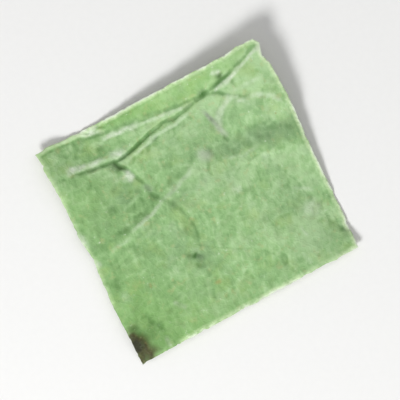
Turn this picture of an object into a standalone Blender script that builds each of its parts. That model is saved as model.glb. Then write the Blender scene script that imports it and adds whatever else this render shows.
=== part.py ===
"""A square cut from a dried lotus leaf: one thin blade that has curled a little as it dried.

It lies on its underside, where the veins stand out as ribs joined by a net of small veins. Above each
rib the upper side sinks in a crease. Lengths are metres and +Z is up. Seen from above, X runs along the
top edge of the square to the right, and Y runs towards that edge.
"""

import math
import random

import bmesh
import bpy
import numpy as np
from mathutils.geometry import delaunay_2d_cdt

MM = 0.001

BLADE = 0.6 * MM  # thickness between the veins

# The cut outline, anticlockwise from the tip of the lower left corner
OUTLINE = (
    (-16.2, -15.4),
    (-8.0, -15.2),
    (5.3, -15.0),
    (15.7, -14.8),
    (16.05, -11.4),
    (16.25, -5.0),
    (16.4, 0.5),
    (16.7, 5.3),
    (16.7, 9.5),
    (16.55, 11.6),
    (16.1, 13.1),
    (16.55, 14.7),
    (15.9, 15.5),
    (13.6, 15.6),
    (11.6, 15.3),
    (-2.0, 15.4),
    (-9.0, 15.45),
    (-14.5, 15.55),
    (-16.1, 15.3),
    (-15.85, 7.0),
    (-16.0, 2.4),
    (-15.7, 0.4),
    (-16.2, -6.3),
)
EDGE_STEP = 0.85 * MM  # between the points of the torn edge
EDGE_UNEVEN = 0.25  # of a step
EDGE_TEAR = 0.05 * MM  # how far a point strays sideways

# Veins from their thick end. Size 1 is a rib as wide and high as RIB_HALF and RIB_RISE say. The furrow
# above a vein has its depths at these shares of the vein's length.
# name, size at each end, shares and depths of the furrow, points
VEINS = (
    (
        "stem",
        (1.0, 0.9),
        ((0, 0.3, 0.6, 0.85, 1), (0.015, 0.035, 0.05, 0.07, 0.11)),
        ((16.8, 15.2), (14.2, 14.1), (12.6, 13.4), (11.2, 12.9), (9.9, 12.5), (8.3, 12.2), (6.6, 12.0)),
    ),
    (
        "upper fork",
        (0.8, 0.5),
        ((0, 0.1, 0.25, 0.45, 0.6, 0.68, 0.78, 1), (0.07, 0.03, 0.03, 0.05, 0.04, 0.02, 0.05, 0.05)),
        (
            (6.6, 12.0),
            (4.3, 12.35),
            (2.3, 12.5),
            (0.2, 12.85),
            (-3.8, 13.4),
            (-6.3, 13.8),
            (-8.4, 14.15),
            (-10.3, 14.5),
            (-13.0, 14.7),
            (-17.0, 14.65),
        ),
    ),
    (
        "lower fork",
        (0.9, 0.5),
        (
            (0, 0.05, 0.10, 0.18, 0.24, 0.30, 0.37, 0.56, 0.62, 0.70, 0.80, 1),
            (0.10, 0.06, 0.10, 0.14, 0.09, 0.16, 0.24, 0.24, 0.12, 0.08, 0.04, 0.02),
        ),
        (
            (6.6, 12.0),
            (4.2, 11.6),
            (2.4, 11.25),
            (0.6, 11.4),
            (-0.6, 11.25),
            (-1.9, 10.85),
            (-3.5, 10.45),
            (-5.2, 9.95),
            (-6.8, 9.6),
            (-8.1, 9.95),
            (-9.6, 10.15),
            (-12.7, 10.6),
            (-17.0, 10.9),
        ),
    ),
    (
        "falling branch",
        (0.95, 0.5),
        (
            (0, 0.05, 0.08, 0.10, 0.13, 0.21, 0.245, 0.28, 0.36, 0.42, 0.46, 0.52, 0.6, 1),
            (0.22, 0.22, 0.08, 0.04, 0.07, 0.03, 0.09, 0.03, 0.04, 0.02, 0.05, 0.04, 0.02, 0.01),
        ),
        (
            (-7.4, 9.7),
            (-6.7, 8.5),
            (-5.9, 7.1),
            (-5.1, 5.6),
            (-4.9, 3.7),
            (-3.5, 2.1),
            (-2.4, 0.2),
            (-2.0, -3.4),
            (-2.9, -7.4),
            (-4.4, -16.5),
        ),
    ),
    (
        "right branch",
        (0.7, 0.45),
        ((0, 0.12, 0.22, 0.32, 0.45, 1), (0.03, 0.09, 0.08, 0.03, 0.02, 0.01)),
        ((6.6, 12.0), (8.3, 11.7), (9.5, 10.9), (11.5, 9.5), (13.5, 8.7), (15.4, 7.2), (17.5, 5.0)),
    ),
    (
        "arc",
        (0.4, 0.3),
        ((0, 0.4, 0.6, 1), (0.01, 0.01, 0.03, 0.03)),
        ((8.9, 10.8), (7.1, 8.6), (6.7, 7.2), (7.2, 5.6)),
    ),
    (
        "low branch",
        (0.35, 0.25),
        ((0, 1), (0.02, 0.02)),
        ((-2.3, -5.2), (1.4, -7.6), (5.6, -10.4), (8.0, -16.5)),
    ),
    (
        "corner branch",
        (0.3, 0.2),
        ((0, 0.7, 1), (0.01, 0.01, 0.03)),
        ((9.0, 3.6), (12.4, -2.6), (13.3, -6.6), (17.4, -12.8)),
    ),
)
RIB_HALF = 0.5 * MM
RIB_RISE = 0.5 * MM
FURROW = 0.8  # a furrow is narrower than its rib, and its low shoulders end at FLANK half widths
FLANK = 1.9
SHOULDER = 0.35  # their height, as a share of the furrow's depth

# Soft folds that bend the whole blade: width to each side, rise, points
FOLDS = (
    (1.3, 0.11, ((-15.4, -1.3), (-10.9, 0.0), (-4.1, 2.3), (1.1, 3.9), (3.5, 5.2))),
    (2.8, -0.38, ((3.4, 6.0), (6.4, 5.0), (10.9, 4.7), (17.0, 3.6))),
    (1.6, -0.06, ((11.6, -1.0), (13.3, -6.6), (14.1, -9.6), (16.6, -12.6))),
    (1.4, -0.12, ((-14.6, -8.6), (-12.3, -11.3), (-10.6, -16.0))),
)
# A fold comes up from nothing at its start and is a little weaker at its end
FOLD_SHARES = (0, 0.25, 0.95, 1)
FOLD_STRENGTHS = (0, 1, 1, 0.8)

# Broad swells of the blade: place, rise and spread
SWELLS = (
    (16.5, 15.5, 2.3, 10.5),
    (-9.0, 16.5, -1.1, 7.0),
    (17.0, -8.0, -1.1, 7.5),
    (-17.0, 12.0, 0.9, 5.0),
    (14.5, -16.0, 0.5, 4.0),
    (-14.0, -15.0, 0.5, 7.0),
)
# Smaller waves across it: direction in degrees, length, height and phase in degrees
WAVES = ((25, 13.0, 0.10, 40), (-50, 9.0, 0.07, 200), (80, 7.5, 0.05, 110))

STRIP_SLOPE = 0.20  # the strip beyond the upper veins bends up by this slope
CORNER_FOLD = ((-15.9, -11.0), (-13.5, -15.4))  # the lower left corner bends down beyond this line
CORNER_SLOPE = 0.62
BEND = 0.35 * MM  # half the width over which these two bends turn

# The net of small veins
NET_CELL = 2.3 * MM
NET_JITTER = 0.40  # of a cell
NET_HALF = 0.42 * MM
NET_UNDER = 0.13 * MM
NET_UPPER = 0.02 * MM

# How the plan is split into triangles
VEIN_STEP = 1.15 * MM  # between the points along a vein
CLEAR = 0.38 * MM  # the least room round the points of an edge or a vein
NET_CLEAR = 0.30 * MM  # between two points of the net
LINE_CLEAR = 0.23 * MM  # between a line of the net and a vein
FOOT_OF_LINE = 0.57 * MM  # from a line of the net to the points where its slope ends
MOST_INWARD = 0.6  # of the way to the middle of a cell, for those points
LINE_SAMPLES = 7  # places at which the room beside a line of the net is measured
FOLD_POINTS = 6  # on the line of the corner's fold
FOLD_BEYOND = 0.2  # how far this line runs on past each end, as a share of its length
SAME = 1e-7  # points closer than this are one

# The three low spots that the blade lies on, and how deep each is pressed flat
FEET = ((-9.3, 13.6), (14.6, -8.0), (-15.9, -15.1))
PRESSED = 0.12 * MM

SEED = 11
UPPER_GREEN = (0.31, 0.50, 0.24, 1.0)


def smooth_path(points, step):
    """Points about a step apart on a curve that runs through the given ones."""
    marks = np.array(points) * MM
    ends = [2 * marks[0] - marks[1], *marks, 2 * marks[-1] - marks[-2]]
    path = []
    for before, start, end, after in zip(ends, ends[1:], ends[2:], ends[3:]):
        count = max(1, round(float(np.linalg.norm(end - start)) / step))
        for t in np.arange(count) / count:
            path.append(
                start
                + 0.5 * t * (end - before)
                + t**2 * (before - 2.5 * start + 2 * end - 0.5 * after)
                + t**3 * (1.5 * (start - end) + 0.5 * (after - before))
            )
    return np.array([*path, marks[-1]])


def nearest(path, x, y):
    """How far each place is from the path, and the share of the path's length to its nearest point."""
    start, run = path[:-1], np.diff(path, axis=0)
    length = np.linalg.norm(run, axis=1)
    east = x[:, None] - start[:, 0]
    north = y[:, None] - start[:, 1]
    t = np.clip((east * run[:, 0] + north * run[:, 1]) / length**2, 0, 1)
    away = np.hypot(east - t * run[:, 0], north - t * run[:, 1])
    best = away.argmin(axis=1)
    rows = np.arange(len(x))
    covered = np.concatenate([[0], np.cumsum(length)])
    share = (covered[best] + t[rows, best] * length[best]) / covered[-1]
    return away[rows, best], share


def hump(distance, half):
    """1 on the line and 0 from the half width outwards, round on top."""
    return 0.5 + 0.5 * np.cos(math.pi * np.clip(distance / half, 0, 1))


def bend(distance):
    """0 before the line and the distance itself beyond it, with a soft turn."""
    near = np.clip(distance + BEND, 0, 2 * BEND)
    return np.where(distance > BEND, distance, near**2 / (4 * BEND))


def crest_of(x):
    """The line of the upper veins, as a height in plan over x."""
    crest = np.concatenate([smooth_path(points, VEIN_STEP) for _, _, _, points in VEINS[:2]])
    order = crest[:, 0].argsort()
    return np.interp(x, crest[order, 0], crest[order, 1])


def beyond_corner_fold(x, y):
    """How far each place lies beyond the fold of the lower left corner."""
    start, end = np.array(CORNER_FOLD) * MM
    across = np.array([end[1] - start[1], start[0] - end[0]])
    across /= np.linalg.norm(across)
    return (x - start[0]) * across[0] + (y - start[1]) * across[1]


def blade_form(x, y):
    """Height of the blade without its veins: swells, waves, folds and the two bends."""
    z = np.zeros_like(x)
    for east, north, rise, spread in SWELLS:
        z += rise * MM * np.exp(-((x - east * MM) ** 2 + (y - north * MM) ** 2) / (spread * MM) ** 2)
    for turn, length, height, phase in WAVES:
        way = math.radians(turn)
        run = (x * math.cos(way) + y * math.sin(way)) / (length * MM)
        z += height * MM * np.sin(2 * math.pi * run + math.radians(phase))
    for half, rise, points in FOLDS:
        distance, share = nearest(smooth_path(points, VEIN_STEP), x, y)
        fade = np.interp(share, FOLD_SHARES, FOLD_STRENGTHS)
        z += rise * MM * fade * hump(distance, half * MM)
    z += STRIP_SLOPE * bend(y - crest_of(x))
    z -= CORNER_SLOPE * bend(beyond_corner_fold(x, y))
    return z


def half_width(size):
    """Half the width of a vein of that size: thin veins are wide for their height."""
    return RIB_HALF * (0.5 + size)


def vein_relief(x, y):
    """The furrows of the upper side, counted upwards, and the ribs of the underside, counted downwards."""
    furrow, shoulder, rib = np.zeros_like(x), np.zeros_like(x), np.zeros_like(x)
    for _, sizes, depths, points in VEINS:
        distance, share = nearest(smooth_path(points, VEIN_STEP), x, y)
        size = np.interp(share, (0, 1), sizes)
        depth = np.interp(share, *depths) * MM
        half = half_width(size)
        furrow = np.maximum(furrow, depth * hump(distance, FURROW * half))
        shoulder = np.maximum(shoulder, SHOULDER * depth * hump(distance, FLANK * half))
        rib = np.maximum(rib, RIB_RISE * size * hump(distance, half))
    return shoulder - (1 + SHOULDER) * furrow, rib


def net_of(outline):
    """The net of small veins: the middles of its cells, its knots, the pairs of knots that it joins, and
    the knots round each cell."""
    draw = random.Random(SEED)
    reach = np.abs(outline).max() + NET_CELL
    rows = math.ceil(reach / (NET_CELL * math.sqrt(0.75)))
    seeds = []
    for row in range(-rows, rows + 1):
        for column in range(-rows, rows + 1):
            slip = 0.5 * (row % 2)
            east = (column + slip + draw.uniform(-NET_JITTER, NET_JITTER)) * NET_CELL
            north = (row * math.sqrt(0.75) + draw.uniform(-NET_JITTER, NET_JITTER)) * NET_CELL
            seeds.append((east, north))
    places, _, faces, _, _, _ = delaunay_2d_cdt(seeds, [], [], 0, SAME)
    places = np.array(places)
    knots = np.array([places[list(face)].mean(axis=0) for face in faces])
    sides, cells = {}, {}
    for index, face in enumerate(faces):
        for corner, following in zip(face, face[1:] + face[:1]):
            sides.setdefault(frozenset((corner, following)), []).append(index)
            cells.setdefault(corner, []).append(index)
    pairs = [pair for pair in sides.values() if len(pair) == 2]
    return places, knots, pairs, list(cells.items())


def net_relief(knots, pairs, x, y):
    """Height of the net, from 1 on its lines to 0 in its cells."""
    best = np.full(len(x), np.inf)
    for first, second in pairs:
        start, run = knots[first], knots[second] - knots[first]
        t = np.clip(((x - start[0]) * run[0] + (y - start[1]) * run[1]) / (run @ run), 0, 1)
        best = np.minimum(best, np.hypot(x - start[0] - t * run[0], y - start[1] - t * run[1]))
    return hump(best, NET_HALF)


def torn_outline():
    """The outline with the small steps and nicks of its torn edge."""
    draw = random.Random(SEED)
    corners = np.array(OUTLINE) * MM
    loop = []
    for start, end in zip(corners, np.roll(corners, -1, axis=0)):
        run = end - start
        length = float(np.linalg.norm(run))
        side = np.array([run[1], -run[0]]) / length
        count = max(1, round(length / EDGE_STEP))
        loop.append(start)
        for index in range(1, count):
            along = (index + draw.uniform(-EDGE_UNEVEN, EDGE_UNEVEN)) / count
            loop.append(start + along * run + side * draw.gauss(0, 1) * EDGE_TEAR)
    return np.array(loop)


def inside(loop, x, y):
    """Whether each place lies within the closed loop."""
    odd = np.zeros(len(x), dtype=bool)
    for (x0, y0), (x1, y1) in zip(loop, np.roll(loop, -1, axis=0)):
        if y0 == y1:
            continue
        crosses = (y0 > y) != (y1 > y)
        odd ^= crosses & (x < x0 + (y - y0) * (x1 - x0) / (y1 - y0))
    return odd


def beside(path, sideways):
    """The path moved to its left, or to its right where sideways is negative."""
    run = np.gradient(path, axis=0)
    run /= np.linalg.norm(run, axis=1)[:, None]
    return path + sideways * np.stack([-run[:, 1], run[:, 0]], axis=1)


def crossings(loop, row):
    """Where a row crosses the closed loop: the position along the loop, in points, and the place."""
    found = []
    for index, (start, end) in enumerate(zip(loop, np.roll(loop, -1, axis=0))):
        side = end - start
        for first, second in zip(row[:-1], row[1:]):
            run = second - first
            cross = side[0] * run[1] - side[1] * run[0]
            if cross == 0:
                continue
            gap = first - start
            s = (gap[0] * run[1] - gap[1] * run[0]) / cross
            t = (gap[0] * side[1] - gap[1] * side[0]) / cross
            if 0 <= s < 1 and 0 <= t < 1:
                found.append((index + s, start + s * side))
    return found


def with_row_ends(loop, rows):
    """The loop with a point wherever a row leaves it, and without the points that crowd those."""
    ends = [crossing for row in rows for crossing in crossings(loop, row)]
    if not ends:
        return loop
    places = np.array([place for _, place in ends])
    kept = [(float(i), p) for i, p in enumerate(loop) if np.hypot(*(places - p).T).min() > CLEAR]
    return np.array([place for _, place in sorted(kept + ends, key=lambda item: item[0])])


def plan_rows():
    """Lines of the plan that the blade's bends and ribs need: each vein's middle and sides, and the folds."""
    rows = []
    for _, sizes, _, points in VEINS:
        path = smooth_path(points, VEIN_STEP)
        half = half_width(np.mean(sizes))
        rows += [path, beside(path, half), beside(path, -half)]
    start, end = np.array(CORNER_FOLD) * MM
    beyond = FOLD_BEYOND * (end - start)
    return [*rows, np.linspace(start - beyond, end + beyond, FOLD_POINTS)]


def room_beside(places, paths):
    """The distance from each place to the nearest of the paths."""
    best = np.full(len(places), np.inf)
    for path in paths:
        best = np.minimum(best, nearest(path, places[:, 0], places[:, 1])[0])
    return best


def spread_out(places, least, kept):
    """The indices of the places that lie at least that far from the kept ones and from each other."""
    chosen = []
    taken = np.array(kept)
    for index, place in enumerate(places):
        if np.hypot(*(taken - place).T).min() >= least:
            chosen.append(index)
            taken = np.vstack([taken, place])
    return chosen


def triangles_in_plan():
    """The blade split into triangles, seen from above, and the pattern of its net."""
    rows = plan_rows()
    loop = with_row_ends(torn_outline(), rows)
    closed = np.vstack([loop, loop[:1]])
    points = [tuple(place) for place in loop]
    lines = [(index, (index + 1) % len(loop)) for index in range(len(loop))]
    laid = [closed]
    for row in rows:
        free = inside(loop, row[:, 0], row[:, 1]) & (room_beside(row, laid) > CLEAR)
        index_of = {}
        for index in np.flatnonzero(free):
            index_of[index] = len(points)
            points.append(tuple(row[index]))
        lines += [(index_of[i], index_of[i + 1]) for i in index_of if i + 1 in index_of]
        laid.append(row)
    seeds, knots, pairs, cells = net_of(loop)
    rings = []
    for seed, around in cells:
        for knot in around:
            inward = seeds[seed] - knots[knot]
            share = min(MOST_INWARD, FOOT_OF_LINE / np.linalg.norm(inward))
            rings.append(knots[knot] + share * inward)
    places = np.vstack([knots, rings, seeds])
    free = inside(loop, places[:, 0], places[:, 1]) & (room_beside(places, laid) > CLEAR)
    index_of = {}
    chosen = np.flatnonzero(free)
    for index in chosen[spread_out(places[chosen], NET_CLEAR, points)]:
        index_of[index] = len(points)
        points.append(tuple(places[index]))
    for first, second in pairs:
        if first in index_of and second in index_of:
            between = np.linspace(knots[first], knots[second], LINE_SAMPLES)
            if room_beside(between, laid).min() > LINE_CLEAR:
                lines.append((index_of[first], index_of[second]))
    places, _, faces, _, _, _ = delaunay_2d_cdt(points, lines, [], 1, SAME)
    return np.array(places), [tuple(face) for face in faces], knots, pairs


def heights(places, knots, pairs):
    """Heights of the upper side and of the underside at each place, before the blade is set down."""
    x, y = places.T
    form = blade_form(x, y)
    furrow, rib = vein_relief(x, y)
    net = net_relief(knots, pairs, x, y)
    upper = form + furrow + NET_UPPER * net
    under = form - BLADE - np.maximum(rib, NET_UNDER * net)
    return upper, under


def set_down(places, knots, pairs):
    """Heights with the blade level on its three feet, which are pressed flat on the ground."""
    feet = np.array(FEET) * MM
    tilt = np.linalg.solve(np.hstack([np.ones((3, 1)), feet]), heights(feet, knots, pairs)[1] + PRESSED)
    ground = tilt[0] + places @ tilt[1:]
    upper, under = heights(places, knots, pairs)
    under = np.maximum(under - ground, 0)
    return np.maximum(upper - ground, under + BLADE), under


def leaf_mesh(name):
    places, faces, knots, pairs = triangles_in_plan()
    upper, under = set_down(places, knots, pairs)
    loop = torn_outline()
    places = places - 0.5 * (loop.min(axis=0) + loop.max(axis=0))
    form = bmesh.new()
    top = [form.verts.new((x, y, z)) for (x, y), z in zip(places, upper)]
    low = [form.verts.new((x, y, z)) for (x, y), z in zip(places, under)]
    sides = set()
    for face in faces:
        form.faces.new([top[index] for index in face])
        form.faces.new([low[index] for index in reversed(face)])
        sides.update(zip(face, face[1:] + face[:1]))
    for first, second in sides:
        if (second, first) not in sides:
            form.faces.new((low[first], low[second], top[second]))
            form.faces.new((low[first], top[second], top[first]))
    mesh = bpy.data.meshes.new(name)
    form.to_mesh(mesh)
    form.free()
    return mesh


def leaf_material():
    material = bpy.data.materials.new("dried leaf")
    material.use_nodes = True
    surface = material.node_tree.nodes["Principled BSDF"]
    surface.inputs["Base Color"].default_value = UPPER_GREEN
    surface.inputs["Roughness"].default_value = 0.75
    surface.inputs["Metallic"].default_value = 0.0
    return material


def main():
    for old in list(bpy.data.objects):
        bpy.data.objects.remove(old, do_unlink=True)
    mesh = leaf_mesh("lotus_leaf_square")
    mesh.materials.append(leaf_material())
    leaf = bpy.data.objects.new("lotus_leaf_square", mesh)
    bpy.context.scene.collection.objects.link(leaf)


main()
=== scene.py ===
"""The looks of a square cut from a dried lotus leaf: a fine blade in place of the plain solid, its finish,
a pale floor, soft light and the camera. Lengths are metres, and millimetres in the tables. +Z is up."""

import math
import random

import bpy
import numpy as np
from mathutils import Matrix, Vector, noise
from mathutils.geometry import delaunay_2d_cdt


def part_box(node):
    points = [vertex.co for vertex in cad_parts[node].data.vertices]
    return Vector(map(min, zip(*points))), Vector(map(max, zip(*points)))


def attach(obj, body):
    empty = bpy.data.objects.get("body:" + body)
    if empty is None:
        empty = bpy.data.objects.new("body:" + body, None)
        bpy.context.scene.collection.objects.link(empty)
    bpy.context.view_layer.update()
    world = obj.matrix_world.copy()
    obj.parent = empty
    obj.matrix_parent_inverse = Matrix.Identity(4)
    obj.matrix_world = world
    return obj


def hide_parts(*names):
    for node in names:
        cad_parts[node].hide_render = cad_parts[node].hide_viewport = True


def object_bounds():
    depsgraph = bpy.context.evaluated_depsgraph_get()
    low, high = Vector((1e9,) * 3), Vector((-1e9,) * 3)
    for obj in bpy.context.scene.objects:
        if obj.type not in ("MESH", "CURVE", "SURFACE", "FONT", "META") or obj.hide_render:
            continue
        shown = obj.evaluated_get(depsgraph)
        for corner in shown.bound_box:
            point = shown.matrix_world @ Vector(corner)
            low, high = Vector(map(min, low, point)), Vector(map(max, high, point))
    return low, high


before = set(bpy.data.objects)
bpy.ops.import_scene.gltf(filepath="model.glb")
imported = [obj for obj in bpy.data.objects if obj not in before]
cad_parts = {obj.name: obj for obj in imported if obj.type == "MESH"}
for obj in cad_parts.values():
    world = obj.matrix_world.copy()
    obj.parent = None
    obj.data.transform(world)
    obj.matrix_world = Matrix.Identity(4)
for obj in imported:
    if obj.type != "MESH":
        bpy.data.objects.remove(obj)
cad_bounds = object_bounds()

MM = 0.001
NODE = "lotus_leaf_square"

# The form of the solid, repeated from its source
SOLID_BLADE = 0.6 * MM
OUTLINE = (
    (-16.2, -15.4), (-8.0, -15.2), (5.3, -15.0), (15.7, -14.8), (16.05, -11.4), (16.25, -5.0), (16.4, 0.5),
    (16.7, 5.3), (16.7, 9.5), (16.55, 11.6), (16.1, 13.1), (16.55, 14.7), (15.9, 15.5), (13.6, 15.6),
    (11.6, 15.3), (-2.0, 15.4), (-9.0, 15.45), (-14.5, 15.55), (-16.1, 15.3), (-15.85, 7.0), (-16.0, 2.4),
    (-15.7, 0.4), (-16.2, -6.3),
)
SIDE_CORNERS = (0, 3, 12, 18)  # of the outline: where its lower, right, upper and left sides begin
EDGE_STEP = 0.85 * MM
EDGE_UNEVEN = 0.25  # of a step
EDGE_TEAR = 0.05 * MM

# name, size at each end, shares and depths of the furrow, points
VEINS = (
    (
        "stem", (1.0, 0.9),
        ((0, 0.3, 0.6, 0.85, 1), (0.015, 0.035, 0.05, 0.07, 0.11)),
        ((16.8, 15.2), (14.2, 14.1), (12.6, 13.4), (11.2, 12.9), (9.9, 12.5), (8.3, 12.2), (6.6, 12.0)),
    ),
    (
        "upper fork", (0.8, 0.5),
        ((0, 0.1, 0.25, 0.45, 0.6, 0.68, 0.78, 1), (0.07, 0.03, 0.03, 0.05, 0.04, 0.02, 0.05, 0.05)),
        (
            (6.6, 12.0), (4.3, 12.35), (2.3, 12.5), (0.2, 12.85), (-3.8, 13.4), (-6.3, 13.8), (-8.4, 14.15),
            (-10.3, 14.5), (-13.0, 14.7), (-17.0, 14.65),
        ),
    ),
    (
        "lower fork", (0.9, 0.5),
        (
            (0, 0.05, 0.10, 0.18, 0.24, 0.30, 0.37, 0.56, 0.62, 0.70, 0.80, 1),
            (0.10, 0.06, 0.10, 0.14, 0.09, 0.16, 0.24, 0.24, 0.12, 0.08, 0.04, 0.02),
        ),
        (
            (6.6, 12.0), (4.2, 11.6), (2.4, 11.25), (0.6, 11.4), (-0.6, 11.25), (-1.9, 10.85), (-3.5, 10.45),
            (-5.2, 9.95), (-6.8, 9.6), (-8.1, 9.95), (-9.6, 10.15), (-12.7, 10.6), (-17.0, 10.9),
        ),
    ),
    (
        "falling branch", (0.95, 0.5),
        (
            (0, 0.05, 0.08, 0.10, 0.13, 0.21, 0.245, 0.28, 0.36, 0.42, 0.46, 0.52, 0.6, 1),
            (0.22, 0.22, 0.08, 0.04, 0.07, 0.03, 0.09, 0.03, 0.04, 0.02, 0.05, 0.04, 0.02, 0.01),
        ),
        (
            (-7.4, 9.7), (-6.7, 8.5), (-5.9, 7.1), (-5.1, 5.6), (-4.9, 3.7), (-3.5, 2.1), (-2.4, 0.2),
            (-2.0, -3.4), (-2.9, -7.4), (-4.4, -16.5),
        ),
    ),
    (
        "right branch", (0.7, 0.45),
        ((0, 0.12, 0.22, 0.32, 0.45, 1), (0.03, 0.09, 0.08, 0.03, 0.02, 0.01)),
        ((6.6, 12.0), (8.3, 11.7), (9.5, 10.9), (11.5, 9.5), (13.5, 8.7), (15.4, 7.2), (17.5, 5.0)),
    ),
    (
        "arc", (0.4, 0.3),
        ((0, 0.4, 0.6, 1), (0.01, 0.01, 0.03, 0.03)),
        ((8.9, 10.8), (7.1, 8.6), (6.7, 7.2), (7.2, 5.6)),
    ),
    (
        "low branch", (0.35, 0.25),
        ((0, 1), (0.02, 0.02)),
        ((-2.3, -5.2), (1.4, -7.6), (5.6, -10.4), (8.0, -16.5)),
    ),
    (
        "corner branch", (0.3, 0.2),
        ((0, 0.7, 1), (0.01, 0.01, 0.03)),
        ((9.0, 3.6), (12.4, -2.6), (13.3, -6.6), (17.4, -12.8)),
    ),
)
RIB_HALF = 0.5 * MM
RIB_RISE = 0.5 * MM
FURROW, FLANK = 0.8, 1.9  # half widths of the furrow and of its raised lips, as shares of the rib's
SHOULDER = 0.35  # height of the lips as a share of the furrow's depth

# Soft folds of the whole blade: width to each side, rise, points
FOLDS = (
    (1.3, 0.11, ((-15.4, -1.3), (-10.9, 0.0), (-4.1, 2.3), (1.1, 3.9), (3.5, 5.2))),
    (2.8, -0.38, ((3.4, 6.0), (6.4, 5.0), (10.9, 4.7), (17.0, 3.6))),
    (1.6, -0.06, ((11.6, -1.0), (13.3, -6.6), (14.1, -9.6), (16.6, -12.6))),
    (1.4, -0.12, ((-14.6, -8.6), (-12.3, -11.3), (-10.6, -16.0))),
)
FOLD_SHARES = (0, 0.25, 0.95, 1)
FOLD_STRENGTHS = (0, 1, 1, 0.8)
# Broad swells of the blade: place, rise and spread
SWELLS = (
    (16.5, 15.5, 2.3, 10.5),
    (-9.0, 16.5, -1.1, 7.0),
    (17.0, -8.0, -1.1, 7.5),
    (-17.0, 12.0, 0.9, 5.0),
    (14.5, -16.0, 0.5, 4.0),
    (-14.0, -15.0, 0.5, 7.0),
)
# Smaller waves across it: direction in degrees, length, height and phase in degrees
WAVES = ((25, 13.0, 0.10, 40), (-50, 9.0, 0.07, 200), (80, 7.5, 0.05, 110))

STRIP_SLOPE = 0.20  # upwards, of the strip beyond the upper veins
CORNER_FOLD = ((-15.9, -11.0), (-13.5, -15.4))  # the lower left corner bends down beyond this line
CORNER_SLOPE = 0.62
BEND = 0.35 * MM  # half the width over which these two bends turn

NET_CELL = 2.3 * MM
NET_JITTER = 0.40  # of a cell
NET_HALF = 0.42 * MM
NET_UNDER = 0.13 * MM
NET_UPPER = 0.02 * MM

VEIN_STEP = 1.15 * MM
SAME = 1e-7  # points closer than this are one
# The three low spots that the blade lies on, and how deep each is pressed flat
FEET = ((-9.3, 13.6), (14.6, -8.0), (-15.9, -15.1))
PRESSED = 0.12 * MM
SEED = 11

# Detail that only the fine blade has
ACROSS, ALONG = 220, 207  # faces along the lower and the left side
BLADE = 0.30 * MM  # the real thickness between the veins
THINNEST = 0.6  # the least share of it that is left anywhere
GRAIN_TURN = 78  # degrees from the lower side to the grain's direction
NOISE_SWING = 1.4  # brings the noise to about -1 to 1
STRAY, STRAY_SIZE = 0.10 * MM, 1.3  # how far a line strays, and the size of its bends in mm
WRINKLES = (  # size along and across the grain, height, and how sharp the furrows are
    (3.4, 1.5, 0.050, 0.35),
    (1.7, 0.75, 0.026, 0.55),
    (0.8, 0.42, 0.011, 0.25),
)
WRINKLE_NOISE, TEAR_NOISE = 7.3, 3.7  # steps from one wrinkle size's noise, and one side's, to the next
RIDGE_ROUNDS, RIDGE_RISE = 18, 0.035 * MM  # rounds of blurring, and the rise over the blurred blade, for the painted light on crests and painted shade in hollows
SHARP_ANGLE = 55  # degrees
DARKEST = 0.24  # mm, the depth from which a furrow's darker tissue and painted shade are quite dark
# width of a furrow's dark line, its darker tissue and painted shade, as a share of the vein's
DARK_LINES = {"stem": 0.85, "upper fork": 0.65, "falling branch": 0.85, "right branch": 0.9}
OTHER_DARK_LINES = 0.6
FINE_NET = 0.6  # width of the net's pale line as a share of its ridge's
STRIP_START = 0.8 * MM  # from the crest to where the strip above it has its full painted light, as it slopes up towards the lamp
# weight of the stretches below, which hold the leaf's own tone with painted light and shade, and of the
# painted light on the strip beyond the upper veins
STRETCH_TONE, STRIP_PAINTED_LIGHT = 1.4, 0.35
BROWN_SWING = 0.15

# The torn edge
FINE_TEARS = ((0.5, 0.08, 0.5), (0.2, 0.06, 9.5))  # size and depth in mm, and the noise's number
NICKS_A_SIDE = 5
NICK_PLACES = (0.03, 0.97)  # shares of the side
NICK_HALVES, NICK_DEPTHS = (0.15, 0.45), (0.04, 0.18)  # mm
CALM_CORNER = 0.3 * MM
TEAR_ROWS = 9  # rows of faces over which the tearing fades out
CUT_ROUGHNESS = 0.035 * MM
EDGE_ROUND = 0.05 * MM
RIM_START, RIM_WIDTH = 1.1, 0.65 * MM  # strength of the pale rim at the edge, partly the pale torn tissue and partly a painted highlight, and how fast it fades
LEFT_RIM = ((-15 * MM, -13 * MM), (0.55, 1))  # the rim is weaker at the left side

# The small creases, which lie at random, in mm
SMALL_CREASES = 90
CREASE_AREA = (15.5, 14.5)  # to each side of the middle
ALONG_GRAIN = 0.6  # share of them
CROSS_TURN, TURN_SPREAD = 12, 14  # degrees
CREASE_REACH = (0.5, 2.4)
CREASE_SAG = 0.25  # share of the reach
CREASE_SIGNS = (-0.6, 1)
CREASE_RISE = (0.012, 0.035)
CREASE_HALF = (0.25, 0.5)
CREASE_FADE = 5  # how fast a crease rises from its ends

MARK_STEP = 0.6 * MM
MARK_END, MARK_FADE = 0.45, 3  # strength of a mark at its ends, and how fast it grows from there
LONGEST_SPOT, SPOT_SHARE = 1.2, 0.65  # mm, and how strong a spot is beside a longer mark
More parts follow.
